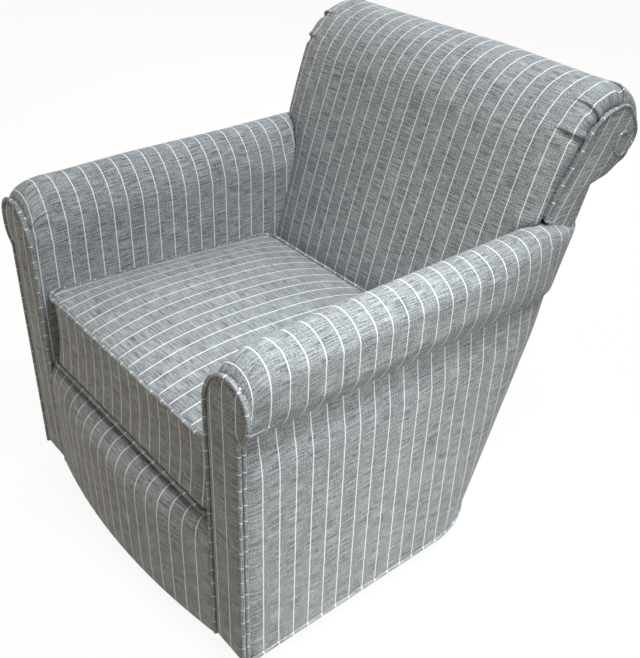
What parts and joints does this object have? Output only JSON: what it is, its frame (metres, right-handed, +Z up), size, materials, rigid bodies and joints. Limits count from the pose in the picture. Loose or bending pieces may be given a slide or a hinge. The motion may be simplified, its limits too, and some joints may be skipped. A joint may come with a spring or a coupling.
{
  "type": "swivel chair",
  "caption": "Upholstered swivel armchair with rolled arms, a scrolled back and a loose boxed seat cushion; the body turns on a roller-bearing plate over a recessed ring base.",
  "frame": {"origin": "on the floor, on the swivel axis, at the middle of the chair's footprint", "axes": "+Z up along the swivel axis, +Y towards the back of the chair, +X towards the sitter's left"},
  "size_m": [0.784, 0.9129, 0.896],
  "materials": {
    "striped_fabric": "woven, matte",
    "lining": "matte",
    "webbing": "matte",
    "foam": "matte",
    "frame_wood": "unfinished",
    "base_paint": "satin black",
    "bare_steel": "zinc plated",
    "nylon": "matte",
    "zip_nylon": "matte",
    "zip_metal": "satin"
  },
  "bodies": {
    "base": {"base_ring": "base_paint", "floor_glides": "nylon", "base_arms": "base_paint", "lower_swivel_plate": "bare_steel", "centre_pin": "bare_steel"},
    "bearing": {"bearing_rollers": "bare_steel", "roller_cage": "nylon"},
    "chair": {"left_arm_pad": "striped_fabric", "right_arm_pad": "striped_fabric", "left_arm_front": "striped_fabric", "right_arm_front": "striped_fabric", "left_outside_arm": "striped_fabric", "right_outside_arm": "striped_fabric", "left_back_facing": "striped_fabric", "right_back_facing": "striped_fabric", "left_back_post": "frame_wood", "right_back_post": "frame_wood", "left_front_post": "frame_wood", "right_front_post": "frame_wood", "left_rear_post": "frame_wood", "right_rear_post": "frame_wood", "left_arm_board": "frame_wood", "right_arm_board": "frame_wood", "left_bottom_rail": "frame_wood", "right_bottom_rail": "frame_wood", "left_seat_rail": "frame_wood", "right_seat_rail": "frame_wood", "outside_back": "striped_fabric", "inside_back": "striped_fabric", "scroll_board": "frame_wood", "back_top_rail": "frame_wood", "back_low_rail": "frame_wood", "rear_bottom_rail": "frame_wood", "back_webbing": "webbing", "front_seat_rail": "frame_wood", "rear_seat_rail": "frame_wood", "corner_blocks": "frame_wood", "front_border": "striped_fabric", "seat_deck": "lining", "seat_webbing_long": "webbing", "seat_webbing_cross": "webbing", "dust_cover": "lining", "upper_swivel_plate": "bare_steel", "plate_bolts": "bare_steel", "front_cross_rail": "frame_wood", "rear_cross_rail": "frame_wood"},
    "cushion": {"seat_cushion_cover": "striped_fabric", "seat_cushion_core": "foam", "zip_tape": "zip_nylon"},
    "zip_pull": {"zip_slider": "zip_metal"}
  },
  "joints": [
    {"name": "swivel", "type": "hinge", "parent": "base", "child": "chair", "pos_m": [0, 0, 0.0725], "axis": [0, 0, 1], "continuous": true},
    {"name": "bearing_roll", "type": "hinge", "parent": "base", "child": "bearing", "pos_m": [0, 0, 0.06925], "axis": [0, 0, 1], "continuous": true},
    {"name": "cushion_lift", "type": "slide", "parent": "chair", "child": "cushion", "axis": [0, 0, 1], "range_m": [0, 0.4]},
    {"name": "zip_slide", "type": "slide", "parent": "cushion", "child": "zip_pull", "axis": [1, 0, 0], "range_m": [0, 0.428]}
  ],
  "couplings": [
    {"joint": "bearing_roll", "follows": "swivel", "ratio": 0.5}
  ]
}
